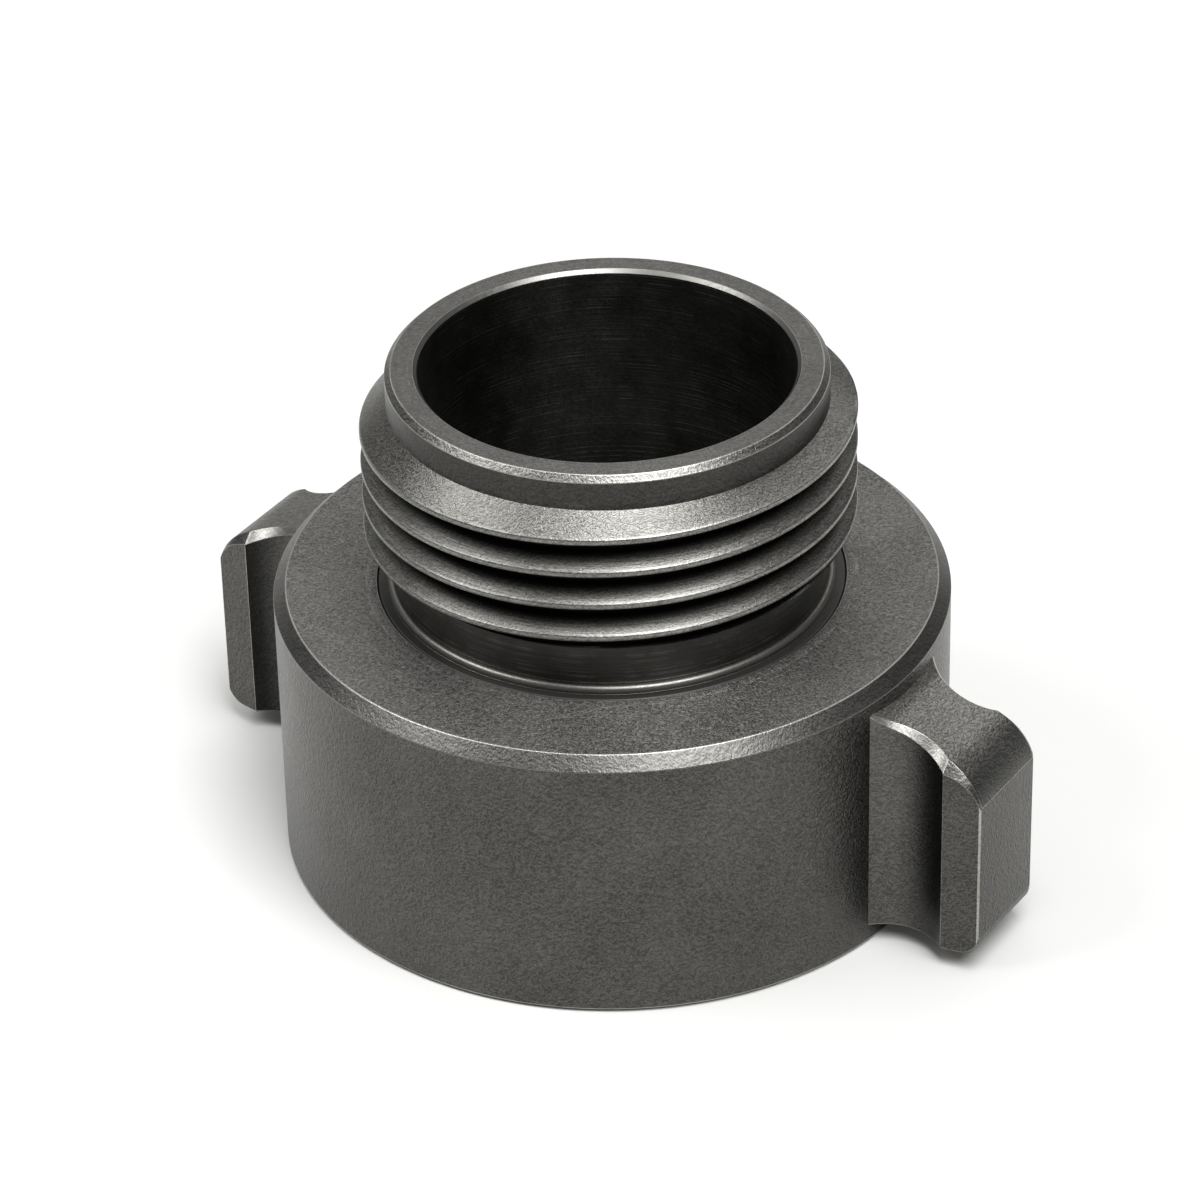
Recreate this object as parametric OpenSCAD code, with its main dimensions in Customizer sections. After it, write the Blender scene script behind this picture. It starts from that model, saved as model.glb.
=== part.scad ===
// Hose adapter with a swivelling female nut and a threaded male nipple.
// The adapter stands on the nut's open end. The origin is on the common axis, at the nut's foot, and +Z
// points to the nipple's nose. The two lugs of the nut lie along +X and -X.

/* [Swivel nut] */
// Outside diameter of the nut
nut_d = 70; // [68:0.5:80]
// Height of the nut, from its foot to its top face
nut_h = 30.5; // [29:0.5:36]
// Size of the chamfer round the nut's top edge
nut_chamfer = 1.3; // [0.6:0.1:2]
// Size of the small chamfer round the nut's foot
foot_chamfer = 0.4; // [0.2:0.1:0.8]

/* [Wing lugs] */
// How far each lug stands out from the nut's wall
lug_len = 11.6; // [10:0.2:15]
// Width of the lug where it leaves the nut
lug_root_w = 14.6; // [13:0.2:16]
// Width of the lug at its widest corners
lug_w = 12.4; // [11.6:0.2:15]
// Width of the flat end face of the lug
lug_end_w = 11.2; // [9:0.2:11.4]
// Distance from the widest corners to the end face
lug_facet = 4; // [3:0.1:5]
// Depth of the hollow gullet on each side of the lug
gullet_depth = 2; // [1:0.1:2.4]
// Height of the lug's underside above the foot
lug_lift = 2; // [1:0.1:4]
// Drop of the lug's root below the nut's chamfer
lug_drop = 0.3; // [0.2:0.1:1.5]
// Slope of the lug's top, in degrees
lug_slope = 18; // [10:1:20]
// Radius of the hollow where the lug's top meets the nut
lug_root_r = 5; // [4:0.2:6]
// Radius of the lug's nose
lug_nose_r = 6.5; // [5:0.1:7]
// Radius of the toe, where the end face meets the underside
lug_toe_r = 2.2; // [1:0.1:3]
// Largest width of the bevel along the lug's upper edges
lug_bevel = 1.1; // [0.4:0.1:1.2]

/* [Waterway and male end] */
// Diameter of the waterway
bore_d = 38.4; // [36:0.1:39]
// Height of the nipple above the nut
nipple_h = 24.8; // [24:0.2:30]
// Diameter of the plain pilot nose
pilot_d = 45; // [43.5:0.1:45.4]
// Height of the pilot nose
pilot_h = 3.7; // [2.5:0.1:4.5]
// Diameter of the neck under the thread
neck_d = 44.6; // [43:0.1:45]
// Height of the neck, up to the foot of the thread
neck_h = 5; // [4:0.2:6]
// Thickness of the round bead at the neck's foot
bead_d = 1.2; // [0.8:0.1:1.6]
// Chamfer round the outer edge of the pilot nose
pilot_chamfer = 0.6; // [0.2:0.1:0.9]
// Chamfer at both mouths of the waterway
bore_chamfer = 0.4; // [0.2:0.1:0.6]

/* [Thread] */
// Outside diameter of the male thread
thread_d = 50.6; // [49.8:0.1:52]
// Rise of both threads in one turn
pitch = 3.7; // [3.5:0.1:4]
// Depth of the thread groove
thread_depth = 2.45; // [2:0.05:2.5]
// Width of the flat crest between two turns of the groove
crest_w = 0.55; // [0.4:0.05:0.8]
// Drop of the first crest below the pilot nose, where the thread starts
first_drop = 1.2; // [0.9:0.1:1.6]
// Direction of the thread's blunt start, in degrees from +X
start_angle = 20; // [0:5:90]

/* [Swivel joint] */
// Diameter of the nipple's tail, which turns in the nut
tail_d = 48.2; // [47.6:0.1:49.6]
// Clearance all round the tail
swivel_gap = 0.08; // [0.05:0.01:0.1]
// Chamfer of the edges beside the joint on the nut's top face
joint_chamfer = 0.1; // [0.1:0.05:0.4]
// Diameter of the retaining ring's wire
ring_wire_d = 2.2; // [1.8:0.1:2.4]
// How far the ring reaches into the nut
ring_bite = 0.8; // [0.6:0.1:1.2]
// Clearance between the ring and its groove in the tail
ring_play = 0.3; // [0.25:0.05:0.4]
// Clearance between the ring and its groove in the nut
ring_seat = 0.05; // [0.03:0.01:0.1]
// Split of the ring, in degrees
ring_split = 12; // [6:1:20]

/* [Female end] */
// Diameter of the female thread at the bottom of its groove
socket_d = 51; // [50.4:0.1:51.4]
// Depth of the plain mouth in front of the female thread
mouth_h = 2.4; // [2:0.1:3]
// Distance the plain mouth stands back from the thread groove
mouth_step = 0.4; // [0.3:0.1:0.6]
// Chamfer at the edge of the mouth
mouth_chamfer = 0.5; // [0.3:0.1:0.8]
// Height of the gasket's seat above the foot
seat_h = 14.4; // [13.6:0.2:15]
// Thickness of the gasket
gasket_t = 3.4; // [3:0.1:3.6]
// Diameter of the recess that holds the gasket
recess_d = 53; // [52.4:0.1:54]
// Clearance round the gasket, and above it
gasket_gap = 0.3; // [0.2:0.05:0.4]

/* [Hidden] */
$fn = 96;
// Steps in one turn of a thread
steps = 48;
// Half the included angle of the thread groove
flank = 30;
// A little more than nothing, to carry a cut past a face
past = 1;

nut_r = nut_d / 2;
bore_r = bore_d / 2;
pilot_r = pilot_d / 2;
neck_r = neck_d / 2;
thread_r = thread_d / 2;
tail_r = tail_d / 2;
socket_r = socket_d / 2;
socket_minor_r = socket_r - thread_depth;
mouth_r = socket_r + mouth_step;
recess_r = recess_d / 2;
nut_bore_r = tail_r + swivel_gap;

// Heights above the foot
recess_top = seat_h + gasket_t + gasket_gap;
nose_z = nut_h + nipple_h;
pilot_z = nose_z - pilot_h;
collar_z = nut_h + neck_h;
ring_z = (recess_top + nut_h) / 2;

// Groove of the thread: half its width at the crests and at the root
groove_half = (pitch - crest_w) / 2;
root_half = groove_half - thread_depth * tan(flank);
first_crest_z = pilot_z - first_drop;
first_groove_z = first_crest_z - pitch / 2;
// The flank under the last crest, down to the neck
runout_h = (thread_r - neck_r) * tan(flank);
thread_turns = (first_groove_z + groove_half - collar_z - runout_h) / pitch;

// Part of the first turn along which the bevel follows the crest, and the step at the blunt start
lead_turn = 0.55;
start_step = 0.15;

// Retaining ring
ring_groove_r = nut_bore_r + ring_bite;
ring_r = ring_groove_r - ring_seat - ring_wire_d / 2;
tail_groove_r = tail_r - ring_wire_d - ring_seat;

// Stations of a lug, measured out from the axis
lug_bury = 0.5;
lug_tip = nut_r + lug_len;
lug_corner = lug_tip - lug_facet;
// Where the side of the lug starts, just under the nut's wall
lug_start = sqrt(pow(nut_r - lug_bury, 2) - pow(lug_root_w / 2, 2));
lug_inside = nut_r - 6;
lug_top_z = nut_h - nut_chamfer - lug_drop;
// Steepness of the lug's top at the wall and at the nose
root_lean = 60;
nose_lean = 75;

// A point on a circle round the axis
function polar(r, a, z) = [r * cos(a), r * sin(a), z];

// Side and end faces of a tube of rings with n points each. Seen from the last ring, each ring turns
// counterclockwise.
function loft_faces(rings, n) = concat(
    [[for (j = [0:n - 1]) j]],
    [for (i = [0:rings - 2], j = [0:n - 1]) [i * n + (j + 1) % n, i * n + j, (i + 1) * n + j]],
    [for (i = [0:rings - 2], j = [0:n - 1])
        [(i + 1) * n + (j + 1) % n, i * n + (j + 1) % n, (i + 1) * n + j]],
    [[for (j = [n - 1:-1:0]) (rings - 1) * n + j]]
);

// Lug: half width at the distance u from the axis
gullet_chord = [lug_corner - lug_start, (lug_w - lug_root_w) / 2];
gullet_r = (pow(norm(gullet_chord) / 2, 2) + pow(gullet_depth, 2)) / (2 * gullet_depth);
gullet_out = [-gullet_chord[1], gullet_chord[0]] / norm(gullet_chord) * (gullet_r - gullet_depth);
gullet_c = [lug_start, lug_root_w / 2] + gullet_chord / 2 + gullet_out;
function lug_half(u) =
    u <= lug_start ? lug_root_w / 2 :
    u < lug_corner ? gullet_c[1] - sqrt(pow(gullet_r, 2) - pow(u - gullet_c[0], 2)) :
    lug_w / 2 - (lug_w - lug_end_w) / 2 * (u - lug_corner) / lug_facet;

// Lug: height of the top, from the hollow at the wall, down the slope and round the nose
root_run = lug_root_r * (sin(root_lean) - sin(lug_slope));
root_fall = lug_root_r * (cos(lug_slope) - cos(root_lean));
nose_run = lug_nose_r * (sin(nose_lean) - sin(lug_slope));
slope_start = lug_start + root_run;
nose_start = lug_tip - nose_run;
slope_top_z = lug_top_z - root_fall;
nose_top_z = slope_top_z - (nose_start - slope_start) * tan(lug_slope);
hollow_c = [slope_start + lug_root_r * sin(lug_slope), slope_top_z + lug_root_r * cos(lug_slope)];
nose_c = [nose_start - lug_nose_r * sin(lug_slope), nose_top_z - lug_nose_r * cos(lug_slope)];
function lug_top(u) =
    u <= lug_start ? lug_top_z :
    u < slope_start ? hollow_c[1] - sqrt(pow(lug_root_r, 2) - pow(u - hollow_c[0], 2)) :
    u < nose_start ? slope_top_z - (u - slope_start) * tan(lug_slope) :
    nose_c[1] + sqrt(pow(lug_nose_r, 2) - pow(u - nose_c[0], 2));

// Lug: height of the underside, which rises round the toe
toe_start = lug_tip - lug_toe_r;
function lug_bottom(u) =
    u < toe_start ? lug_lift :
    lug_lift + lug_toe_r - sqrt(max(0, pow(lug_toe_r, 2) - pow(u - toe_start, 2)));

// Lug: width of the bevel on the upper edges, widest at the corners and narrow at both ends
edge_break = 0.25;
function lug_edge(u) =
    edge_break + (lug_bevel - edge_break) * (
        u <= lug_start ? 0 :
        u < lug_corner ? (u - lug_start) / (lug_corner - lug_start) :
        (lug_tip - u) / lug_facet);

gullet_steps = 14;
nose_steps = 8;
lug_stations = concat(
    [lug_inside],
    [for (i = [0:gullet_steps]) lug_start + (lug_corner - lug_start) * i / gullet_steps],
    [for (i = [1:nose_steps]) lug_corner + lug_facet * sin(90 * i / nose_steps)]
);

// Section across the lug at one station
function lug_section(u, w, lo, hi, e) = [
    [u, -w + edge_break, lo], [u, w - edge_break, lo],
    [u, w, lo + edge_break], [u, w, hi - e],
    [u, w - e, hi], [u, -w + e, hi],
    [u, -w, hi - e], [u, -w, lo + edge_break]
];

module lug() {
    points = [for (u = lug_stations)
        each lug_section(u, lug_half(u), lug_bottom(u), lug_top(u), lug_edge(u))];
    polyhedron(points, loft_faces(len(lug_stations), 8));
}

// Cutter for a thread groove on a right-hand helix. It starts at angle a and height z and goes down.
// The groove is narrow at root_r and opens towards mouth_r. Over the first run_in of a turn it deepens.
module thread_groove(root_r, mouth_r, a, z, turns, run_in) {
    count = ceil(turns * steps);
    side = sign(mouth_r - root_r);
    reach = abs(mouth_r - root_r);
    points = [for (i = [0:count])
        let (turn = i / steps,
             f = run_in > 0 ? min(1, (turn + 1 / steps) / run_in) : 1,
             here = mouth_r - side * reach * f,
             half = root_half + reach * f * tan(flank),
             b = a - 360 * turn,
             h = z - pitch * turn)
        each [polar(here, b, h - root_half), polar(mouth_r, b, h - half),
              polar(mouth_r, b, h + half), polar(here, b, h + root_half)]];
    ring_order = side > 0 ? 1 : -1;
    faces = loft_faces(count + 1, 4);
    polyhedron(points, ring_order > 0 ? faces : [for (f = faces) [for (k = [len(f) - 1:-1:0]) f[k]]]);
}

// Drop of the bevel's lower edge after a part of the first turn. It follows the first crest as far as
// lead_turn, then climbs back behind the blunt start and ends a little above it.
function lead_drop(turn) =
    turn < lead_turn ? pitch * turn :
    pitch * lead_turn - (pitch * lead_turn + start_step) * (turn - lead_turn) / (1 - lead_turn);

// Cutter above the first crest: the bevel from the pilot's foot down to the crest's edge.
// It covers the part of the first turn between the turns t0 and t1.
module lead_bevel(t0, t1) {
    count = ceil((t1 - t0) * steps);
    inner_r = bore_r + past;
    outer_r = thread_r + past;
    top_z = pilot_z + past;
    points = [for (i = [0:count])
        let (turn = t0 + (t1 - t0) * i / count,
             b = start_angle - 360 * turn,
             edge_z = first_crest_z + crest_w / 2 - lead_drop(turn),
             slope = (pilot_z - edge_z) / (thread_r - pilot_r))
        each [polar(inner_r, b, pilot_z + (pilot_r - inner_r) * slope),
              polar(outer_r, b, edge_z - (outer_r - thread_r) * slope),
              polar(outer_r, b, top_z + nut_d), polar(inner_r, b, top_z + nut_d)]];
    polyhedron(points, loft_faces(count + 1, 4));
}

// The nut: a turned ring with a stepped bore, the female thread and two lugs
module swivel_nut() {
    color("dimgray")
    difference() {
        union() {
            rotate_extrude()
            polygon([
                [socket_minor_r - past, 0], [nut_r - foot_chamfer, 0], [nut_r, foot_chamfer],
                [nut_r, nut_h - nut_chamfer], [nut_r - nut_chamfer, nut_h], [socket_minor_r - past, nut_h]
            ]);
            lug();
            rotate([0, 0, 180])
            lug();
        }
        nut_bore();
        thread_groove(socket_r, socket_minor_r - 0.15, 0, seat_h + pitch / 2,
                      (seat_h - mouth_h + pitch) / pitch, 0);
    }
}

// The nut's stepped bore: mouth, thread crests, gasket recess, bearing and ring groove
module nut_bore() {
    ring_half = ring_wire_d / 2 + ring_seat;
    rotate_extrude()
    polygon([
        [0, -past], [mouth_r + mouth_chamfer + past, -past], [mouth_r, mouth_chamfer],
        [mouth_r, mouth_h], [socket_minor_r, mouth_h], [socket_minor_r, seat_h],
        [recess_r, seat_h], [recess_r, recess_top], [nut_bore_r, recess_top],
        [nut_bore_r, ring_z - ring_half], [ring_groove_r, ring_z - ring_half],
        [ring_groove_r, ring_z + ring_half], [nut_bore_r, ring_z + ring_half],
        [nut_bore_r, nut_h - joint_chamfer], [nut_bore_r + joint_chamfer + past, nut_h + past],
        [0, nut_h + past]
    ]);
}

// The nipple: tail, bead, neck, threaded collar and pilot nose round one waterway
module male_nipple() {
    color("gray")
    difference() {
        union() {
            nipple_stem();
            threaded_collar();
        }
        waterway();
    }
}

// Everything that is turned, apart from the thread
module nipple_stem() {
    ring_half = ring_wire_d / 2 + ring_play;
    rotate_extrude()
    polygon([
        [bore_r - past, recess_top], [tail_r - joint_chamfer, recess_top],
        [tail_r, recess_top + joint_chamfer],
        [tail_r, ring_z - ring_half], [tail_groove_r, ring_z - ring_half],
        [tail_groove_r, ring_z + ring_half], [tail_r, ring_z + ring_half],
        [tail_r, nut_h - joint_chamfer], [tail_r - joint_chamfer, nut_h],
        [neck_r, nut_h], [neck_r, collar_z + past], [pilot_r, collar_z + runout_h + past],
        [pilot_r, nose_z - pilot_chamfer], [pilot_r - pilot_chamfer, nose_z],
        [bore_r - past, nose_z]
    ]);
    translate([0, 0, nut_h + bead_d / 4])
    rotate_extrude()
    translate([neck_r + bead_d / 4, 0])
    circle(d = bead_d);
}

// The collar with the male thread cut into it
module threaded_collar() {
    difference() {
        rotate_extrude()
        polygon([
            [bore_r - past, collar_z], [neck_r, collar_z], [thread_r, collar_z + runout_h],
            [thread_r, pilot_z + past / 2], [bore_r - past, pilot_z + past / 2]
        ]);
        lead_bevel(0, 0.5);
        lead_bevel(0.5, 1);
        thread_groove(thread_r - thread_depth, thread_r + 0.15, start_angle + 360 / 8,
                      first_groove_z + pitch / 8, thread_turns + 1 / 8, 1 / 8);
    }
}

// The through bore with a chamfer at both mouths
module waterway() {
    rotate_extrude()
    polygon([
        [0, recess_top - past], [bore_r + bore_chamfer + past, recess_top - past],
        [bore_r, recess_top + bore_chamfer], [bore_r, nose_z - bore_chamfer],
        [bore_r + bore_chamfer + past, nose_z + past], [0, nose_z + past]
    ]);
}

// The split wire ring that holds the tail in the nut
module retaining_ring() {
    color("silver")
    translate([0, 0, ring_z])
    rotate([0, 0, ring_split / 2])
    rotate_extrude(angle = 360 - ring_split)
    translate([ring_r, 0])
    circle(d = ring_wire_d);
}

// The flat gasket on its seat at the bottom of the female thread
module hose_gasket() {
    color("black")
    translate([0, 0, seat_h])
    difference() {
        cylinder(r = recess_r - gasket_gap, h = gasket_t);
        translate([0, 0, -past])
        cylinder(r = bore_r + gasket_gap, h = gasket_t + 2 * past);
    }
}

swivel_nut();
male_nipple();
retaining_ring();
hose_gasket();
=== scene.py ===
# %% [markdown]
# # A hose adapter in blasted, hard-anodised aluminium
#
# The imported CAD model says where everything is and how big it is. This lesson dresses it: each turned
# piece is rebuilt as a fine surface with rounded edges, and each surface gets the finish that its
# process leaves. The new surfaces are grids of points worked out with numpy, which keeps the shapes
# exact and easy to change.
#
# All lengths are written in millimetres and multiplied by `MM` once, because Blender works in metres.

import math

import bmesh
import bpy
import numpy as np
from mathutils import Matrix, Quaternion, Vector


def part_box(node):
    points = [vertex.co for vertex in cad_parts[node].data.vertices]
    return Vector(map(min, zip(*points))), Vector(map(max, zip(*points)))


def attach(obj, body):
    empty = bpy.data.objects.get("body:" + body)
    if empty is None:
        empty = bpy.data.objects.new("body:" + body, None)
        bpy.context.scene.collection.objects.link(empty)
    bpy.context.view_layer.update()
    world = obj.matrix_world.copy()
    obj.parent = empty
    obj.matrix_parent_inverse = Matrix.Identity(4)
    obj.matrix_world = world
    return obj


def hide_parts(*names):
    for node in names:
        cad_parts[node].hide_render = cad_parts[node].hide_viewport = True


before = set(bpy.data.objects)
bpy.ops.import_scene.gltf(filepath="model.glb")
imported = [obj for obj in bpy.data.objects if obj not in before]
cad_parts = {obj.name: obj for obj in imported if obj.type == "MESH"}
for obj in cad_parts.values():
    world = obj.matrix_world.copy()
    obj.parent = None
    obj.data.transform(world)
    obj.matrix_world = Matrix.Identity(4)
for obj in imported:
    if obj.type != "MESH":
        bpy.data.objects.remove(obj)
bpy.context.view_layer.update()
MM = 0.001
print("CAD nodes:", sorted(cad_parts))

# %% [markdown]
# ## The camera
#
# The view is a product photograph taken from about 32 degrees above the bench with a long lens. A long
# lens standing far back keeps the circles close to true ellipses, and a short one close up would swell
# the near lug. The small roll about the viewing axis is the photograph's.

# %% Camera
AZIMUTH, ELEVATION, ROLL = 33.0, 32.5, -1.4
CAMERA_AWAY, LENS = 537, 155.5
TARGET = np.array([-1.08, -0.70, 26.97]) * MM


def aim(obj, target):
    """Turns an object so that its -Z axis points at the target and its +Y axis stays up."""
    obj.rotation_mode = "QUATERNION"
    obj.rotation_quaternion = Vector(np.asarray(target) - np.asarray(obj.location)).to_track_quat("-Z", "Y")


def direction(azimuth, elevation):
    """Unit vector (sin a cos e, -cos a cos e, sin e) towards a camera or lamp. The angles are in degrees."""
    a, e = math.radians(azimuth), math.radians(elevation)
    return np.array([math.sin(a) * math.cos(e), -math.cos(a) * math.cos(e), math.sin(e)])


def add_object(name, data):
    """A new object in the scene, at the origin."""
    obj = bpy.data.objects.new(name, data)
    bpy.context.scene.collection.objects.link(obj)
    return obj


camera = add_object("camera", bpy.data.cameras.new("camera"))
camera.data.sensor_width, camera.data.lens = 36.0, LENS
camera.data.clip_start, camera.data.clip_end = 0.01, 20
camera.location = TARGET + direction(AZIMUTH, ELEVATION) * CAMERA_AWAY * MM
aim(camera, TARGET)
camera.rotation_quaternion = camera.rotation_quaternion @ Quaternion((0, 0, 1), math.radians(ROLL))
bpy.context.scene.camera = camera
print("camera at", [round(v / MM) for v in camera.location], "mm")

# %% [markdown]
# ## Material tools
#
# Three small helpers keep the node graphs short to read. `linear` turns a hex colour, as a colour
# picker shows it, into the linear values that the renderer works with. `add_node` makes any node, sets
# its values, connects its inputs and hands back the output that the next node needs, so a graph reads
# from top to bottom. `start_material` gives an empty material and its shader.

# %% Material helpers
def linear(hex_colour):
    """sRGB hex such as '#8a8a88' to linear: v / 12.92 if very dark, else ((v + 0.055) / 1.055)^2.4."""
    values = [int(hex_colour[i:i + 2], 16) / 255 for i in (1, 3, 5)]
    return [v / 12.92 if v <= 0.04045 else ((v + 0.055) / 1.055) ** 2.4 for v in values] + [1.0]


def add_node(tree, kind, inputs=None, out=0, **settings):
    """Adds a node and returns one of its outputs.

    Settings are the node's properties, and inputs maps a socket to a value or to another node's output.
    """
    node = tree.nodes.new(kind)
    for key, value in settings.items():
        setattr(node, key, value)
    for key, value in (inputs or {}).items():
        if isinstance(value, bpy.types.NodeSocket):
            tree.links.new(value, node.inputs[key])
        else:
            node.inputs[key].default_value = value
    return node.outputs[out]


def start_material(name):
    """A new material, its node tree and its shader."""
    material = bpy.data.materials.new(name)
    material.use_nodes = True
    shader = next(n for n in material.node_tree.nodes if n.type == "BSDF_PRINCIPLED")
    return material, material.node_tree, shader


print("dark anodised grey in linear light:", [round(v, 3) for v in linear("#565552")[:3]])

# %% [markdown]
# ## The studio paper
#
# The object stands on a large pale sheet that curves up behind it, as a roll of studio paper does. Two
# flat planes would show their joint as a line. The sheet's section is a straight run, a quarter circle
# and a straight rise, and it turns with the camera.

# %% Studio paper
def paper_sweep(width, front, back, radius, height, steps):
    """Points and row count of a sheet that runs flat from front to back and turns up, in metres.

    At the angle q of the bend, y = back + radius sin q and z = radius - radius cos q.
    """
    bend = np.linspace(0, math.pi / 2, steps)
    y = np.concatenate([[front], back + radius * np.sin(bend), [back + radius]])
    z = np.concatenate([[0], radius - radius * np.cos(bend), [height]])
    side = np.array([-width / 2, width / 2])
    points = np.stack(np.broadcast_arrays(side[None, :], y[:, None], z[:, None]), -1)
    return points.reshape(-1, 3), len(y)


sweep_points, sweep_rows = paper_sweep(width=6.0, front=-3.0, back=1.2, radius=0.8, height=3.0, steps=24)
turn = math.radians(AZIMUTH)
to_camera = np.array([[math.cos(turn), math.sin(turn), 0], [-math.sin(turn), math.cos(turn), 0], [0, 0, 1]])
first = 2 * np.arange(sweep_rows - 1)[:, None]
sweep = bpy.data.meshes.new("studio_paper")
sweep.from_pydata(sweep_points @ to_camera, [], first + np.array([0, 1, 3, 2]))
sweep.polygons.foreach_set("use_smooth", np.ones(len(sweep.polygons), bool))
add_object("studio_paper", sweep)
print("studio paper:", len(sweep.polygons), "faces")

# %% [markdown]
# ## The paper's white
#
# The photograph's ground is white with a faint contact shadow. Rays from the camera, and rays that
# the metal mirrors, see the paper with a little light of its own added, so it reads as white. All other
# rays see plain matt paper, so it pours no extra light on the metal and keeps the shadow.

# %% Paper material and world
PAPER_GLOW, WORLD_LIGHT = 0.02, 0.15

paper_material, tree, shader = start_material("matt white studio paper")
shader.inputs["Base Color"].default_value = linear("#dededc")
shader.inputs["Roughness"].default_value = 0.9
rays = add_node(tree, "ShaderNodeLightPath").node.outputs
seen = add_node(tree, "ShaderNodeMath", {0: rays["Is Camera Ray"], 1: rays["Is Glossy Ray"]},
                operation="MAXIMUM")
glow = add_node(tree, "ShaderNodeEmission", {"Color": (1, 1, 1, 1), "Strength": PAPER_GLOW})
both = add_node(tree, "ShaderNodeAddShader", {0: shader.outputs[0], 1: glow})
choice = add_node(tree, "ShaderNodeMixShader", {0: seen, 1: shader.outputs[0], 2: both})
tree.links.new(choice, next(n for n in tree.nodes if n.type == "OUTPUT_MATERIAL").inputs["Surface"])
sweep.materials.append(paper_material)

bpy.context.scene.view_settings.view_transform = "Standard"
world = bpy.data.worlds.new("studio")
bpy.context.scene.world = world
world.use_nodes = True
background = next(n for n in world.node_tree.nodes if n.type == "BACKGROUND")
background.inputs["Color"].default_value = (1, 1, 1, 1)
background.inputs["Strength"].default_value = WORLD_LIGHT
print("paper glow", PAPER_GLOW, "world light", WORLD_LIGHT)

# %% [markdown]
# ## The lamps
#
# Three soft boxes do the modelling, and the weak world fills the shadows. One stands overhead and behind
# and lights the flat tops. One hangs high on the camera's side, right of its middle, and draws the
# bright stretch along the chamfers and the thread. One hangs high on the left for that side's edges. A
# single large lamp would light the object as well, but flat faces and chamfers would look alike.

# %% Lamps
def soft_box(name, azimuth, elevation, distance, width, height, watts):
    """A rectangular lamp, in metres, that faces the object. Its azimuth counts from the camera's."""
    lamp = bpy.data.lights.new(name, "AREA")
    lamp.shape, lamp.size, lamp.size_y, lamp.energy = "RECTANGLE", width, height, watts
    obj = add_object(name, lamp)
    obj.location = direction(AZIMUTH + azimuth, elevation) * distance
    aim(obj, (0, 0, 0.03))


soft_box("back_top_box", 180, 50, 1.0, 1.2, 0.7, 2.8)
soft_box("front_top_box", 28, 66, 1.0, 0.5, 0.8, 12)
soft_box("left_top_box", -84, 50, 1.0, 0.5, 0.4, 3.6)

# %% [markdown]
# ## Grit
#
# The casting is blasted with grit before it is anodised, and the grit leaves fine ridges in all
# directions. Light from one side shows such a ridge as a bright flank and a dark one. A noise less the
# same noise moved a little aside gives just that pattern, and it is painted into the colour as light
# and shade from one side, on top of a real bump. An image of a real skin could do it too, but it
# would stretch and repeat.
#
# Real ridges are about 0.1 mm wide and would not show at this distance, so they are drawn 0.37 mm wide.

# %% Grit
GRIT, GRIT_ASIDE = 0.37, (-0.05, 0.06, 0.09)


def grit_ridges(tree, place):
    """Two values from 0 to 1: the ridges' height, and their lit side as painted light, the height less that a
    little aside.
    """
    aside = add_node(tree, "ShaderNodeVectorMath", {0: place, 1: [v * MM for v in GRIT_ASIDE]})
    grit = {"Scale": 1 / (GRIT * MM), "Detail": 1.0, "Distortion": 0.9}
    here, there = [add_node(tree, "ShaderNodeTexNoise", {"Vector": spot, **grit}) for spot in (place, aside)]
    lit = add_node(tree, "ShaderNodeMath", {0: here, 1: there}, operation="SUBTRACT")
    lit = add_node(tree, "ShaderNodeMapRange", {"Value": lit, "From Min": -0.11, "From Max": 0.11})
    return here, lit


print("ridges to the millimetre:", round(1 / GRIT, 1))

# %% [markdown]
# ## Turning marks
#
# A lathe tool leaves circles round the axis. A noise of the radius and the height alone is the same all
# the way round, so it draws full circles, and a coarser noise of the place breaks them into streaks. A
# real feed of 0.05 mm would not show, so the circles are drawn about 0.2 mm apart.
#
# Such circles also stretch a highlight across themselves. The shader's anisotropy does this without a
# mesh of real grooves, once its tangent lies across the circles. The unit arm less the axis does so on
# a flat face and on an upright wall alike.

# %% Turning marks
FEED, PATCH, MARKS_FADE = 0.2, 2.5, 3.0


def round_axis(tree, place):
    """The arm (x, y, 0), its length r, and the point (r, 0, z), which is the same all the way round."""
    arm = add_node(tree, "ShaderNodeVectorMath", {0: place, 1: (1, 1, 0)}, operation="MULTIPLY")
    radius = add_node(tree, "ShaderNodeVectorMath", {0: arm}, "Value", operation="LENGTH")
    height = add_node(tree, "ShaderNodeSeparateXYZ", {0: place}, "Z")
    return arm, radius, add_node(tree, "ShaderNodeCombineXYZ", {"X": radius, "Z": height})


def turning_marks(tree, place, radius, lathe, marks_to):
    """Height of the circles, and the streaks of lighter metal where circles and patches are both high.

    Both are multiplied by a share that falls from 1 to 0 just inside the radius marks_to.
    """
    circle = add_node(tree, "ShaderNodeTexNoise", {"Vector": lathe, "Scale": 1 / (FEED * MM), "Detail": 2.0})
    patch = add_node(tree, "ShaderNodeTexNoise", {"Vector": place, "Scale": 1 / (PATCH * MM), "Detail": 3.0})
    inside = add_node(tree, "ShaderNodeMapRange", {"Value": radius, "From Min": (marks_to - MARKS_FADE) * MM,
                                                   "From Max": marks_to * MM, "To Min": 1.0, "To Max": 0.0})
    circles = add_node(tree, "ShaderNodeMapRange", {"Value": circle, "From Min": 0.48, "From Max": 0.64})
    patches = add_node(tree, "ShaderNodeMapRange", {"Value": patch, "From Min": 0.4, "From Max": 0.65})
    streak = add_node(tree, "ShaderNodeMath", {0: circles, 1: patches}, operation="MULTIPLY")
    streak = add_node(tree, "ShaderNodeMath", {0: streak, 1: inside}, operation="MULTIPLY")
    return add_node(tree, "ShaderNodeMath", {0: circle, 1: inside}, operation="MULTIPLY"), streak


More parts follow.
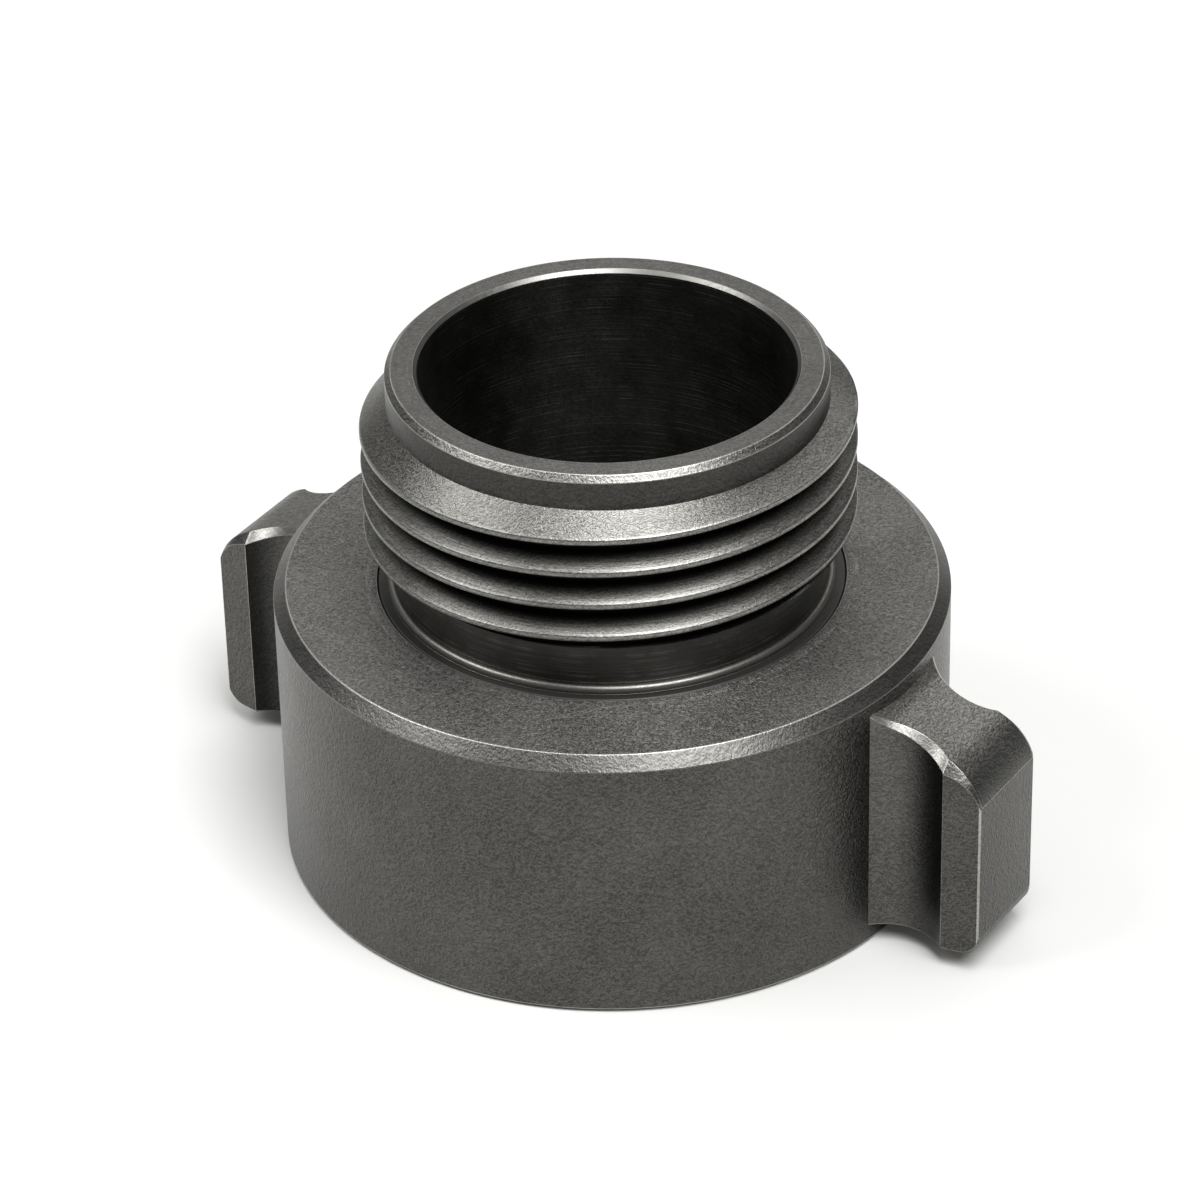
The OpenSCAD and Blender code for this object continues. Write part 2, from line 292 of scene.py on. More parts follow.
def stretch_highlight(tree, shader, arm, sheen):
    """Gives the shader a tangent across the circles, the unit arm less (0, 0, 1), in world space."""
    outward = add_node(tree, "ShaderNodeVectorMath", {0: arm}, operation="NORMALIZE")
    across = add_node(tree, "ShaderNodeVectorMath", {0: outward, 1: (0, 0, 1)}, operation="SUBTRACT")
    across = add_node(tree, "ShaderNodeVectorTransform", {0: across}, vector_type="VECTOR",
                      convert_from="OBJECT", convert_to="WORLD")
    tree.links.new(across, shader.inputs["Tangent"])
    shader.inputs["Anisotropic"].default_value = sheen


print("circles to the millimetre:", 1 / FEED)

# %% [markdown]
# ## Hard-anodised aluminium
#
# The nut and the nipple are one alloy, 6061 aluminium, with a dark hard-anodised skin. The skin is a
# layer of oxide that reflects more dully than bare metal, so some faces scatter a part of the light and
# have a metallic value below 1. One function makes every variant, because only the process differs.
#
# Handling rubs the edges, and the light metal shows through there. The meshes carry where that is in an
# attribute called edge, and where the thread's grooves are in one called deep. The grooves get painted
# shade from it, darker than their shadow alone makes them.

# %% Hard-anodised aluminium
# PAINTED_LIGHT_SHARE is how much of the ridges' painted light and shade goes into the tone, and
# PAINTED_SHADE_SHARE how dark painted shade gets between two radii
CLOUD, PAINTED_LIGHT_SHARE, STREAK_SHARE, PAINTED_SHADE_SHARE = 9.0, 0.6, 0.45, 0.85
# Bare metal for rubbed edges, and PAINTED_GROOVE_SHADE the colour of the painted shade in the thread's
# grooves
BARE_METAL, PAINTED_GROOVE_SHADE = linear("#b9b8b4"), linear("#161615")


def anodised(name, skin, light, roughness, metal=1.0, grain=0.0, marks=0.0, marks_to=99.0, wear=0.9,
             shade=0.85, painted_shade_radii=None, sheen=0.0):
    """Hard-anodised aluminium with its tones running from skin to light.

    The tone is a slow cloud, plus PAINTED_LIGHT_SHARE of the lit ridges, which paints light and shade from
    one side, plus STREAK_SHARE of the streaks. grain is the depth of the ridges and marks that of the turning
    marks, in millimetres. The marks end at the radius marks_to. wear sets how bright rubbed edges get, and
    shade how dark the painted shade in the thread's grooves is. dusk is a pair of radii between which painted
    shade darkens the skin, and sheen is how far the turning stretches a highlight across its circles.
    """
    material, tree, shader = start_material(name)
    place = add_node(tree, "ShaderNodeTexCoord", out="Object")
    arm, radius, lathe = round_axis(tree, place)
    ridges, lit = grit_ridges(tree, place)
    cloud = add_node(tree, "ShaderNodeTexNoise", {"Vector": place, "Scale": 1 / (CLOUD * MM), "Detail": 2.0})
    tone = add_node(tree, "ShaderNodeMapRange", {"Value": cloud, "From Min": 0.35, "From Max": 0.65,
                                                 "To Max": 0.15})
    relief = {}
    if grain:
        # Painted light and shade: the ridges' lit side goes into the colour
        tone = add_node(tree, "ShaderNodeMath", {0: lit, 1: PAINTED_LIGHT_SHARE, 2: tone}, operation="MULTIPLY_ADD")
        relief["Normal"] = add_node(tree, "ShaderNodeBump", {"Height": ridges, "Distance": grain * MM})
    if marks:
        circles, streak = turning_marks(tree, place, radius, lathe, marks_to)
        tone = add_node(tree, "ShaderNodeMath", {0: streak, 1: STREAK_SHARE, 2: tone},
                        operation="MULTIPLY_ADD")
        relief["Normal"] = add_node(tree, "ShaderNodeBump", {"Height": circles, "Distance": marks * MM,
                                                             **relief})
    if relief:
        tree.links.new(relief["Normal"], shader.inputs["Normal"])

    colour = add_node(tree, "ShaderNodeMix", {0: tone, 6: linear(skin), 7: linear(light)}, 2,
                      data_type="RGBA")
    edge = add_node(tree, "ShaderNodeAttribute", out="Fac", attribute_name="edge")
    rub = add_node(tree, "ShaderNodeMapRange", {"Value": cloud, "From Min": 0.3, "From Max": 0.6,
                                                "To Min": wear * 0.5, "To Max": wear})
    rubbed = add_node(tree, "ShaderNodeMath", {0: edge, 1: rub}, operation="MULTIPLY")
    colour = add_node(tree, "ShaderNodeMix", {0: rubbed, 6: colour, 7: BARE_METAL}, 2, data_type="RGBA")
    deep = add_node(tree, "ShaderNodeAttribute", out="Fac", attribute_name="deep")
    # Painted shade: the skin darkens with the groove's depth
    dark = add_node(tree, "ShaderNodeMapRange", {"Value": deep, "From Min": 0.15, "From Max": 0.85,
                                                 "To Max": shade}, interpolation_type="SMOOTHSTEP")
    # Painted shade that darkens the skin between the two radii of dusk
    if painted_shade_radii:
        far = add_node(tree, "ShaderNodeMapRange", {"Value": radius, "From Min": painted_shade_radii[0] * MM,
                                                    "From Max": painted_shade_radii[1] * MM, "To Max": PAINTED_SHADE_SHARE})
        dark = add_node(tree, "ShaderNodeMath", {0: dark, 1: far}, operation="MAXIMUM")
    colour = add_node(tree, "ShaderNodeMix", {0: dark, 6: colour, 7: PAINTED_GROOVE_SHADE}, 2, data_type="RGBA")
    tree.links.new(colour, shader.inputs["Base Color"])

    # The roughness rises a little on the ridges, so a highlight breaks up on them
    dull = add_node(tree, "ShaderNodeMapRange", {"Value": ridges, "From Min": 0.3, "From Max": 0.7,
                                                 "To Min": roughness - 0.04, "To Max": roughness + 0.05})
    tree.links.new(dull, shader.inputs["Roughness"])
    shader.inputs["Metallic"].default_value = metal
    if sheen:
        stretch_highlight(tree, shader, arm, sheen)
    return material


print("bare metal in linear light:", [round(v, 3) for v in BARE_METAL[:3]])

# %% [markdown]
# ## Finishes of the nut
#
# The nut is a casting, turned on its top and in its bore and blasted outside. Each finish starts from
# the values of a typical blasted metal, a metallic value of 1 and a roughness near 0.4, and is then
# matched to the photograph. One finish for all would be quicker, but the wall, the top and the rubbed
# edges differ at a glance. The list's order is that of the material slots, and each slot has a name.

# %% Finishes of the nut
WALL, FACE, INSIDE, CHAMFER, WORN, CROWN, GULLET = range(7)
nut_finishes = [
    # Dark, with the ridges as a fine leather grain of real bumps and painted light and shade
    anodised("grit-blasted anodised wall", "#3e3d3b", "#696865", 0.34, grain=0.1),
    # Lighter and duller, with a broad sheen, and turning marks beside the joint only
    anodised("grit-blasted anodised face", "#4e4d4b", "#979692", 0.42, 0.8, grain=0.1, marks=0.02,
             marks_to=28.5, sheen=0.75),
    # Nearly black as painted shade, because hardly any light gets in
    anodised("turned anodised bore", "#2a2a29", "#3c3c3a", 0.5, 0.9, marks=0.02, wear=0.3),
    # Blasted less deeply than the faces it joins, so it draws the bright ring round the top
    anodised("blasted anodised chamfer", "#4e4d4b", "#787774", 0.38, grain=0.03),
    # Light metal where hands have rubbed the skin away
    anodised("rubbed bare edge", "#8c8b87", "#b9b8b4", 0.36, grain=0.01),
    # Lighter than the face as painted light along the saddle, with painted shade round the nose
    anodised("blasted anodised crown of a lug", "#636260", "#a8a7a2", 0.4, grain=0.06, painted_shade_radii=(43.5, 48.0)),
    # Grey at the root, with painted shade towards the corner
    anodised("anodised hollow beside a lug", "#474644", "#72716e", 0.38, grain=0.06, painted_shade_radii=(37.0, 42.0)),
]
print("finishes of the nut:", len(nut_finishes))

# %% [markdown]
# ## Finishes of the nipple
#
# The nipple is turned all over. Its flanks and its neck are smooth and dark with fine streaks round the
# axis, and the bevel above the thread was blasted, so it sparkles where it faces the lamps. The finishes
# could be one material with masks, but one slot for each process is easier to follow and to change.

# %% Finishes of the nipple
FLANK, NOSE, WATERWAY, BEVEL, BEAD, JOINT, PILOT, NECK = range(8)
nipple_finishes = [
    # Light crests over grooves darkened with painted shade, with only a trace of wear
    anodised("turned anodised thread", "#5d5c59", "#989793", 0.38, grain=0.025, marks=0.015, wear=0.15,
             shade=0.97),
    # A dull flat ring with a soft stretched sheen
    anodised("turned anodised nose", "#464543", "#6e6d6a", 0.44, 0.6, grain=0.03, marks=0.01, wear=0.6,
             sheen=0.5),
    # Dark, with light streaks that follow the tool round
    anodised("turned anodised waterway", "#333331", "#8a8985", 0.38, 0.95, marks=0.03, wear=0.35, sheen=0.6),
    # Coarse and bright where it faces a lamp
    anodised("blasted anodised bevel", "#585754", "#9a9995", 0.38, grain=0.04),
    # Smooth, and painted lighter than the rest, so its real highlight shows as a brighter thin line
    anodised("rolled anodised bead", "#82817d", "#a5a4a0", 0.38, wear=0.0),
    # A quiet dark ring beside the joint
    anodised("turned anodised collar", "#3a3938", "#545350", 0.45, 0.5, marks=0.01, wear=0.1),
    # Darker than the nose above it and the bevel below it
    anodised("turned anodised pilot", "#353433", "#504f4c", 0.38, 0.95, grain=0.03, marks=0.01),
    # Dark and polished, with streaks
    anodised("turned anodised neck", "#403f3d", "#7c7b78", 0.34, 0.95, marks=0.03, wear=0.1, sheen=0.7),
]
print("finishes of the nipple:", len(nipple_finishes))

# %% [markdown]
# ## Surfaces from profiles
#
# A turned part is a profile spun round an axis. Blender's Screw modifier could do that, but an array of
# points gives full control: every corner of the profile is first rounded with a small arc, because no
# real edge is perfectly sharp and the arc is what catches the light. The arcs are remembered in the
# point attribute edge, which the materials read to show where the finish has worn through.

# %% Rounded profiles
# Radius of a plain edge, width of the unworn rim beside an arc, and share of a side that an arc may take
ROUNDING, ARC_RIM, ARC_SHARE = 0.1, 0.06, 0.42


def rounded(corners, radius, steps=3):
    """Replaces each inner corner of an open profile by an arc that touches both sides.

    corners is a list of (r, z), (r, z, own radius) or (r, z, own radius, wear), and a radius of 0 keeps
    a corner sharp. In a corner of half angle h, an arc of radius R starts R / tan h from the corner and
    has its centre R / sin h from it. Returns the points and their wear, 0 on the straight stretches.
    """
    full = np.array([(*corner, *(radius, 1.0)[len(corner) - 2:]) for corner in corners])
    ends, at, size, wear = full[[0, -1], :2], full[1:-1, :2], full[1:-1, 2], full[1:-1, 3]
    back, onward = full[:-2, :2] - at, full[2:, :2] - at
    back_len, onward_len = np.linalg.norm(back, axis=1), np.linalg.norm(onward, axis=1)
    back, onward = back / back_len[:, None], onward / onward_len[:, None]
    middle = back + onward
    middle_len = np.linalg.norm(middle, axis=1)
    sharp = (size == 0) | (middle_len < 1e-6)
    half = np.arccos(np.clip((back * onward).sum(axis=1), -1, 1)) / 2
    limit = ARC_SHARE * np.minimum(back_len, onward_len)
    reach = np.minimum(size / np.tan(half), limit)
    away = reach / np.cos(half) / np.where(sharp, 1, middle_len)
    centre = at + middle * away[:, None]
    start, end = at + back * reach[:, None] - centre, at + onward * reach[:, None] - centre
    sign = np.sign(start[:, 0] * end[:, 1] - start[:, 1] * end[:, 0])
    q = (sign * (math.pi - 2 * half))[:, None] * np.linspace(0, 1, steps + 1)
    arc = np.stack([np.cos(q) * start[:, :1] - np.sin(q) * start[:, 1:],
                    np.sin(q) * start[:, :1] + np.cos(q) * start[:, 1:]], -1) + centre[:, None]
    rim = np.minimum(reach + ARC_RIM, 1.05 * limit)[:, None]
    points = np.concatenate([(at + back * rim)[:, None], arc, (at + onward * rim)[:, None]], axis=1)
    edge = np.pad(np.repeat(wear[:, None], steps + 1, axis=1), ((0, 0), (1, 1)))
    kept = np.ones(edge.shape, bool)
    kept[sharp, 1:] = False
    points[sharp, 0] = at[sharp]
    return np.concatenate([ends[:1], points[kept], ends[1:]]), np.concatenate([[0], edge[kept], [0]])


def subdivide(points, edge, longest):
    """Cuts each stretch of a profile into the fewest equal steps that are no longer than longest."""
    step = np.diff(points, axis=0)
    count = np.maximum(1, np.ceil(np.linalg.norm(step, axis=1) / longest)).astype(int)
    k = np.repeat(np.arange(len(step)), count)
    i = np.arange(len(k)) - np.repeat(np.cumsum(count) - count, count) + 1
    cut = points[k] + step[k] * i[:, None] / count[k][:, None]
    worn = np.where(i == count[k], edge[k + 1], 0)
    return np.concatenate([points[:1], cut]), np.concatenate([edge[:1], worn])


print("a rounded right angle:", rounded([(0, 0), (1, 0), (1, 1)], 0.2)[0].round(2).tolist())

# %% [markdown]
# ## From grids to a mesh
#
# A spun profile is a grid with one row for each point and one column for each angle, and it closes on
# itself from its last column to its first. The columns start at the angle where the thread starts, so
# that thread and profiles meet point on point. Points that fall together, where one grid meets the
# next, are welded at the end. A boolean union of separate shapes would also join them, but it would
# leave long thin triangles that shade badly.

# %% Grid and mesh helpers
COLUMNS, START_ANGLE = 360, 20.0
WELD, SHARP_ANGLE = 1e-7, math.radians(34)


def spun(points):
    """Grid of a profile (r, z) spun round Z: row j, column i is (r cos a, r sin a, z), with a falling."""
    angle = np.radians(START_ANGLE) - 2 * np.pi * np.arange(COLUMNS) / COLUMNS
    r, z = points[:, 0][:, None], points[:, 1][:, None]
    return np.stack(np.broadcast_arrays(r * np.cos(angle), r * np.sin(angle), z), -1)


def grid_faces(grid, closed=True):
    """Quads (j, i), (j + 1, i), (j + 1, i + 1), (j, i + 1), whose last column joins the first if closed."""
    rows, wide = grid.shape[:2]
    j, i = np.meshgrid(np.arange(rows - 1), np.arange(wide if closed else wide - 1), indexing="ij")
    k = (i + 1) % wide
    return np.stack([j * wide + i, (j + 1) * wide + i, (j + 1) * wide + k, j * wide + k], -1).reshape(-1, 4)


def spun_part(points, edge, finish):
    """A part for make_piece from a profile. finish(r, z) gives the slots of the rows, at their middles."""
    grid, middle = spun(points), (points[1:] + points[:-1]) / 2
    return grid, grid_faces(grid), {"edge": np.repeat(edge, COLUMNS)}, np.repeat(finish(*middle.T), COLUMNS)


def new_mesh(name, points, faces, finishes, slots):
    """A smooth-shaded mesh from points in millimetres, with the finishes and the slot of each face."""
    mesh = bpy.data.meshes.new(name)
    mesh.from_pydata(points * MM, [], faces)
    for material in finishes:
        mesh.materials.append(material)
    mesh.polygons.foreach_set("material_index", np.asarray(slots, np.int32))
    mesh.polygons.foreach_set("use_smooth", np.ones(len(faces), bool))
    return mesh


def make_piece(name, parts, finishes=()):
    """One welded object from parts of (grid in mm, quads, attributes, slot of each quad).

    A part's quads count from its own first point, so each part's numbers grow by the points before it.
    """
    counts = [grid[..., 0].size for grid, *_ in parts]
    points = np.concatenate([grid.reshape(-1, 3) for grid, *_ in parts])
    faces = np.concatenate([part[1] + start for part, start in zip(parts, np.cumsum([0, *counts]))])
    mesh = new_mesh(name, points, faces, finishes, np.concatenate([part[3] for part in parts]))
    for key in ("edge", "deep"):
        values = [np.ravel(part[2].get(key, np.zeros(count))) for part, count in zip(parts, counts)]
        layer = mesh.attributes.new(key, "FLOAT", "POINT")
        layer.data.foreach_set("value", np.concatenate(values).astype(np.float32))
    work = bmesh.new()
    work.from_mesh(mesh)
    bmesh.ops.remove_doubles(work, verts=work.verts, dist=WELD)
    work.to_mesh(mesh)
    print(name, len(mesh.polygons), "faces, open edges", sum(len(e.link_faces) != 2 for e in work.edges))
    work.free()
    mesh.set_sharp_from_angle(angle=SHARP_ANGLE)
    return add_object(name, mesh)


print("columns:", COLUMNS, "or one every", 360 / COLUMNS, "degrees")

# %% [markdown]
# ## The thread as a sheared grid
#
# A screw thread is one profile repeated down a helix. Cutting it with a boolean would leave ragged
# triangles. Here the rows of the grid themselves run down the helix: row v at the part-turn t lies at
# the height z = v - pitch * t. After one whole turn each row has dropped by exactly one pitch, so its
# end falls on the start of the row one pitch below it, and the weld closes the surface. The rows are
# crowded where the crest's edges and the root turn sharply, and they are sparse on the straight flanks.

# %% Thread form
PITCH, DEPTH, CREST_W, TAN_FLANK = 3.7, 2.45, 0.55, math.tan(math.radians(30))
GROOVE_HALF = (PITCH - CREST_W) / 2
ROOT_HALF = GROOVE_HALF - DEPTH * TAN_FLANK
ROOT_ROUND, CREST_ROUND = 0.35, 0.22
# Rows from the middle of a groove to the middle of a crest, and both halves of a pitch
HALF_ROWS = np.array([0, 0.1, 0.2, 0.32, 0.6, 0.9, 1.2, 1.42, 1.52, 1.57, 1.62, 1.7, 1.85])
PITCH_ROWS = np.concatenate([-HALF_ROWS[:0:-1], HALF_ROWS[:-1]])


def smooth_min(a, b, k):
    """The smaller of a and b, less (k - |a - b|)^2 / 4k where they are nearer than k, which rounds it."""
    return np.minimum(a, b) - np.maximum(k - np.abs(a - b), 0) ** 2 / (4 * k)


def groove_height(distance):
    """Height above the root, from 0 to DEPTH: (distance from the groove's middle - half root) / tan 30."""
    flank_height = (np.abs(distance) - ROOT_HALF) / TAN_FLANK
    return smooth_min(-smooth_min(-flank_height, 0, ROOT_ROUND), DEPTH, CREST_ROUND)


print("rows in one pitch:", len(PITCH_ROWS), "root width", round(2 * ROOT_HALF, 2))

# %% [markdown]
# ## The grid of a threaded zone
#
# A zone's rows start above its top and end below its foot, because each row drops by a pitch on its way
# round. Cutting them off at the ends would leave ragged triangles. What lies outside the zone is pressed
# flat onto its ends instead, and the weld removes it.

# %% Thread grid
def thread_grid(groove_z, low, high, radius_at, low_r, high_r, corner=None):
    """Grid of a threaded zone, and the height at which each of its rows starts.

    radius_at(t, z) gives the radius at the part-turn t and the height z = row - PITCH t, and the zone
    ends in circles of the radii low_r and high_r. corner holds one height a column, or nan. The nearest
    row is moved onto it, so that a corner which crosses the rows stays sharp.
    """
    first = math.floor((low - groove_z) / PITCH) - 1
    last = math.ceil((high + PITCH - groove_z) / PITCH) + 1
    rows = (groove_z + PITCH * np.arange(first, last)[:, None] + PITCH_ROWS).ravel()
    t = np.arange(COLUMNS + 1) / COLUMNS
    z = np.clip(rows[:, None] - PITCH * t, low, high)
    if corner is not None:
        i = np.flatnonzero(np.isfinite(corner))
        z[np.abs(z[:, i] - corner[i]).argmin(axis=0), i] = corner[i]
    r = np.pad(radius_at(t, z), ((1, 1), (0, 0)), constant_values=((low_r, high_r), (0, 0)))
    z = np.pad(z, ((1, 1), (0, 0)), constant_values=((low, high), (0, 0)))
    angle = np.radians(START_ANGLE) - 2 * np.pi * t
    return np.stack([r * np.cos(angle), r * np.sin(angle), z], -1), np.array([low, *rows, high])


print("a drop of", PITCH, "mm a turn")

# %% [markdown]
# ## The nipple's thread
#
# The male nipple is one turning: tail, bead, neck, thread, pilot nose and bore. Its thread starts out of
# the bevel under the nose. The groove fades in over an eighth of a turn, the bevel follows the first
# crest down for about half a turn, and then it climbs to a little step behind the blunt start. Its lower
# edge crosses the rows there, so the grid's nearest row is moved onto it.

# %% Nipple's thread
NUT_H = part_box("swivel_nut")[1].z / MM
TAIL_Z, NOSE_Z = (corner.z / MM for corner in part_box("male_nipple"))
BORE_R, NECK_R, NECK_H, THREAD_R, PILOT_R, PILOT_H = 19.2, 22.3, 5.0, 25.3, 22.5, 3.7
PILOT_Z, COLLAR_Z = NOSE_Z - PILOT_H, NUT_H + NECK_H
FIRST_DROP, BLEND = 1.2, 0.2
FIRST_CREST_Z = PILOT_Z - FIRST_DROP
FIRST_GROOVE_Z = FIRST_CREST_Z - PITCH / 2
LEAD_TURN, START_STEP, RUN_IN = 0.55, 0.15, 0.125
RUNOUT_H = (THREAD_R - NECK_R) * TAN_FLANK
TURNS = (FIRST_GROOVE_Z + GROOVE_HALF - COLLAR_Z - RUNOUT_H) / PITCH


def bevel_foot(t):
    """Height of the bevel's lower edge: the first crest's, which drops, then climbs to the step at t = 1."""
    drop = np.interp(t, [0, LEAD_TURN, 1 - 2 / COLUMNS, 1], [0, PITCH * LEAD_TURN, -START_STEP, 0])
    return FIRST_CREST_Z + CREST_W / 2 - drop


def groove_depth(t, z):
    """DEPTH less the height in the groove that is nearest, faded in over the run-in, 0 past the last turn."""
    turn = t + np.arange(-1, 5)[:, None, None]
    fade = np.clip((turn + RUN_IN) / RUN_IN, 0, 1) * (turn <= TURNS)
    return (fade * (DEPTH - groove_height(z - FIRST_GROOVE_Z + PITCH * turn))).max(axis=0)


def nipple_radius(t, z):
    """The least of three radii: the crests less the groove, the bevel under the nose, and the run-out."""
    bevel = PILOT_R + (PILOT_Z - z) * (THREAD_R - PILOT_R) / (PILOT_Z - bevel_foot(t))
    under = NECK_R + (z - COLLAR_Z) / TAN_FLANK
    grooved = THREAD_R - groove_depth(t, z)
    return smooth_min(smooth_min(grooved, bevel, BLEND), np.maximum(under, NECK_R), BLEND)


print("nose at", round(NOSE_Z, 2), "tail's foot at", round(TAIL_Z, 2), "turns of thread", round(TURNS, 2))

# %% [markdown]
# ## Wear and depth on the thread
#
# Two attributes go with the points. The edge value is a narrow bell round each crest's two corners, where
# a mating thread rubs. The deep value is the groove's own depth, which the material turns into painted
# shade. Painting both by hand would also work, but a formula stays right when the thread changes.

# %% Nipple's threaded part
BELL, CREST_BAND, FADE_H, NEAR = 0.06, 0.25, 0.3, 0.02
part_turn = np.arange(COLUMNS + 1) / COLUMNS
step_edge = np.where((part_turn > LEAD_TURN) & (part_turn < 1), bevel_foot(part_turn), np.nan)
collar, collar_rows = thread_grid(FIRST_GROOVE_Z, COLLAR_Z, PILOT_Z, nipple_radius, NECK_R, PILOT_R,
                                  step_edge)
collar_r, collar_z = np.hypot(collar[..., 0], collar[..., 1]), collar[..., 2]
from_groove = np.abs((collar_rows - FIRST_GROOVE_Z + PITCH / 2) % PITCH - PITCH / 2)
crest_bell = np.exp(-((from_groove - GROOVE_HALF) / BELL) ** 2)[:, None]
# The groove's depth, which the material paints as shade
collar_deep = groove_depth(part_turn, collar_z) / DEPTH
collar_deep *= np.clip((PILOT_Z - FADE_H - collar_z) / FADE_H, 0, 1) * (collar_z > COLLAR_Z + NEAR)
collar_faces = grid_faces(collar, closed=False)
on_bevel = (collar_z > bevel_foot(part_turn) - NEAR).ravel()[collar_faces].all(axis=1)
collar_marks = {"edge": crest_bell * (collar_r > THREAD_R - CREST_BAND), "deep": collar_deep}
threaded_part = (collar, collar_faces, collar_marks, np.where(on_bevel, BEVEL, FLANK))
print("threaded grid:", collar.shape[:2], "quads on the bevel", int(on_bevel.sum()))

# %% [markdown]
# ## The nipple's tail and nose
#
# Below the thread, the profile runs from the bore round the tail, with its groove for the retaining
# ring, to the joint with the nut, the little bead and the neck. Above the thread it is the pilot nose.
# Both could be spun as one profile, but the thread lies between them, so each meets its grid's end.

# %% Nipple's profiles
TAIL_R, JOINT_CHAMFER, NOSE_CHAMFER, BORE_CHAMFER = 24.1, 0.1, 0.6, 0.4
WIRE_R, RING_SEAT, RING_PLAY = 1.1, 0.05, 0.3
RING_Z, TAIL_GROOVE_R = (TAIL_Z + NUT_H) / 2, TAIL_R - 2 * WIRE_R - RING_SEAT
BEAD_R, BEAD_OUT, BEAD_FOOT, BEAD_TOP = 0.6, 0.3, 0.86, 0.95
BORE_SEAM_Z, SEAM = TAIL_Z + 6, 0.05

tail_half = WIRE_R + RING_PLAY
bead_turn = np.radians(np.linspace(-28, 118, 12))
bead_r, bead_z = BEAD_OUT + BEAD_R * np.cos(bead_turn), BEAD_OUT + BEAD_R * np.sin(bead_turn)
bead = np.stack([NECK_R + bead_r, NUT_H + bead_z, 0 * bead_turn], 1)
foot_profile = [
    (BORE_R, BORE_SEAM_Z), (BORE_R, TAIL_Z + BORE_CHAMFER), (BORE_R + BORE_CHAMFER, TAIL_Z),
    (TAIL_R - JOINT_CHAMFER, TAIL_Z), (TAIL_R, TAIL_Z + JOINT_CHAMFER), (TAIL_R, RING_Z - tail_half),
    (TAIL_GROOVE_R, RING_Z - tail_half), (TAIL_GROOVE_R, RING_Z + tail_half), (TAIL_R, RING_Z + tail_half),
    (TAIL_R, NUT_H - JOINT_CHAMFER, 0.03, 0.2), (TAIL_R - JOINT_CHAMFER, NUT_H, 0.03, 0.3),
    (NECK_R + BEAD_FOOT, NUT_H, 0.05, 0), *bead.tolist(), (NECK_R, NUT_H + BEAD_TOP, 0.1, 0),
    (NECK_R, COLLAR_Z - SEAM), (NECK_R, COLLAR_Z),
]
nose_profile = [
    (PILOT_R, PILOT_Z), (PILOT_R, PILOT_Z + SEAM), (PILOT_R, NOSE_Z - NOSE_CHAMFER),
    (PILOT_R - NOSE_CHAMFER, NOSE_Z), (BORE_R + BORE_CHAMFER, NOSE_Z, 0.08, 0.4),
    (BORE_R, NOSE_Z - BORE_CHAMFER, 0.1, 0.2), (BORE_R, BORE_SEAM_Z),
]
foot_points, foot_edge = subdivide(*rounded(foot_profile, ROUNDING), 4)
nose_points, nose_edge = subdivide(*rounded(nose_profile, ROUNDING), 4)
print("tail and nose:", len(foot_points), "and", len(nose_points), "rows")

# %% [markdown]
# ## The nipple
#
# Each row of the profiles gets its finish from where it lies. The small offsets keep every test clear of
# the rounded corners. Cutting the piece into one object for each finish would show seams, so it stays
# one mesh with several slots.

# %% Nipple
def nipple_finish(r, z):
    """Slot of a row whose middle is at r and z: the first stretch that holds it, or else the run-out."""
    return np.select([
        (np.abs(r - NECK_R) < 0.05) & (z > NUT_H + 0.9) & (z < COLLAR_Z - 0.04),
        (r > BORE_R + NEAR) & (r < BORE_R + BORE_CHAMFER + NEAR) & (z > NOSE_Z - BORE_CHAMFER - NEAR),
        (z > NOSE_Z - NOSE_CHAMFER - NEAR) & (r > PILOT_R - NOSE_CHAMFER - 0.1),
        (r > NECK_R + NEAR) & (r < NECK_R + 0.92) & (z > NUT_H + 0.01) & (z < NUT_H + 1),
        (r > NECK_R + 0.8) & (z > NUT_H - 0.4) & (z < NUT_H + NEAR),
        (r > PILOT_R - 0.1) & (z > PILOT_Z) & (z < NOSE_Z - 0.5),
        (z > NOSE_Z - 0.05) & (r > BORE_R + 0.2),
        (r < BORE_R + 0.35) | (z < NUT_H - 0.4),
    ], [NECK, BEAD, BEVEL, BEAD, JOINT, PILOT, NOSE, WATERWAY], FLANK)


nipple = make_piece("nipple_surface", [
    threaded_part,
    spun_part(foot_points, foot_edge, nipple_finish),
    spun_part(nose_points, nose_edge, nipple_finish),
], nipple_finishes)
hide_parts("male_nipple")
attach(nipple, "nipple")

# %% [markdown]
# ## The nut's female thread
#
# The socket uses the same sheared grid as the male thread, with its groove cut outwards. It runs from a
# plain mouth to the gasket's seat. A plain bore would look the same while the adapter stands, but not
# once someone turns it over.

# %% Nut's thread
SOCKET_R, MOUTH_R, MOUTH_H, SEAT_Z, RECESS_R = 25.5, 25.9, 2.4, 14.4, 26.5
SOCKET_GROOVE_Z = SEAT_Z + PITCH / 2 + PITCH * START_ANGLE / 360


def socket_radius(t, z):
    """Radius of the groove's bottom less the height in the groove, which repeats every pitch."""
    distance = (z - SOCKET_GROOVE_Z + PITCH * t + PITCH / 2) % PITCH - PITCH / 2
    return SOCKET_R - groove_height(distance)


socket, socket_rows = thread_grid(SOCKET_GROOVE_Z, MOUTH_H, SEAT_Z, socket_radius, MOUTH_R, RECESS_R)
# The groove's depth, which the material paints as shade
socket_deep = np.clip((np.hypot(socket[..., 0], socket[..., 1]) - SOCKET_R + DEPTH) / DEPTH, 0, 1)
socket_faces = grid_faces(socket, closed=False)[:, ::-1]
socket_part = (socket, socket_faces, {"deep": socket_deep}, np.full(len(socket_faces), INSIDE))
print("female thread:", len(socket_rows), "rows")

# %% [markdown]
# ## The nut
#
# The swivel nut is a ring with a stepped bore: mouth, thread, recess for the gasket, and the bearing
# bore with a groove for the outer half of the retaining ring. The profile runs once round the section,
# from the foot of the thread to its top, so that the closed ring has no caps to add.

